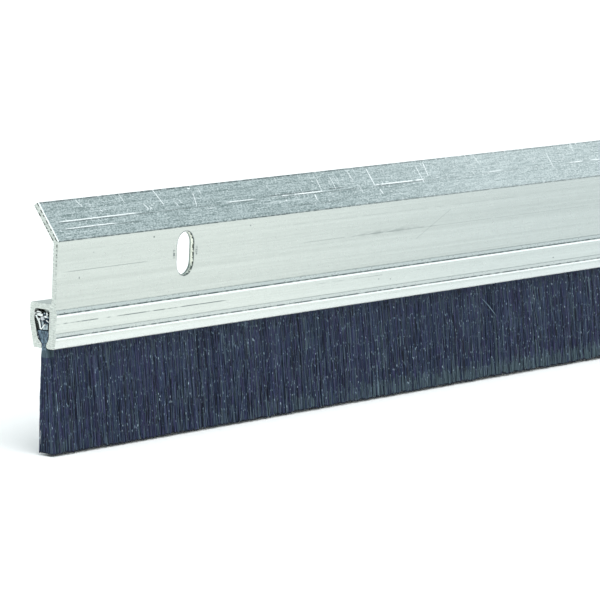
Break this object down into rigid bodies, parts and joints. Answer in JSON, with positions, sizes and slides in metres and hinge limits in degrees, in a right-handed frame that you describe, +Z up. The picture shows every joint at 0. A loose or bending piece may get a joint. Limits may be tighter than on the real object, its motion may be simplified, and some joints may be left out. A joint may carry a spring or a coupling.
{
  "type": "brush door sweep",
  "caption": "Aluminium door bottom carrier with a sloping top flange, slotted web and rear channel holding a sliding nylon strip brush.",
  "frame": {"origin": "middle of the flat back of the brush channel, the face that lies against the door", "axes": "+X along the sweep, +Y into the door, +Z up"},
  "size_m": [0.9144, 0.0061, 0.0413],
  "materials": {
    "mill_aluminium": "mill finish, with die lines along the length and light handling scratches",
    "galvanised_steel": "bright zinc-coated sheet, crumpled where it is cut",
    "wire_steel": "drawn wire",
    "nylon_bristles": "blue-black crimped nylon filaments with a soft sheen"
  },
  "bodies": {
    "carrier": {"carrier": "mill_aluminium"},
    "brush_strip": {"brush_spine": "galvanised_steel", "core_wire": "wire_steel", "bristle_roots": "nylon_bristles"},
    "bristle_fringe": {"bristle_fringe": "nylon_bristles"}
  },
  "joints": [
    {"name": "brush_slide", "type": "slide", "parent": "carrier", "child": "brush_strip", "axis": [1, 0, 0], "range_m": [-0.864, 0.864]},
    {"name": "bristle_flex", "type": "hinge", "parent": "brush_strip", "child": "bristle_fringe", "pos_m": [0, -0.00317, -0.00643], "axis": [1, 0, 0], "range_deg": [-40, 40], "stiffness_Nm_per_rad": 0.25}
  ]
}
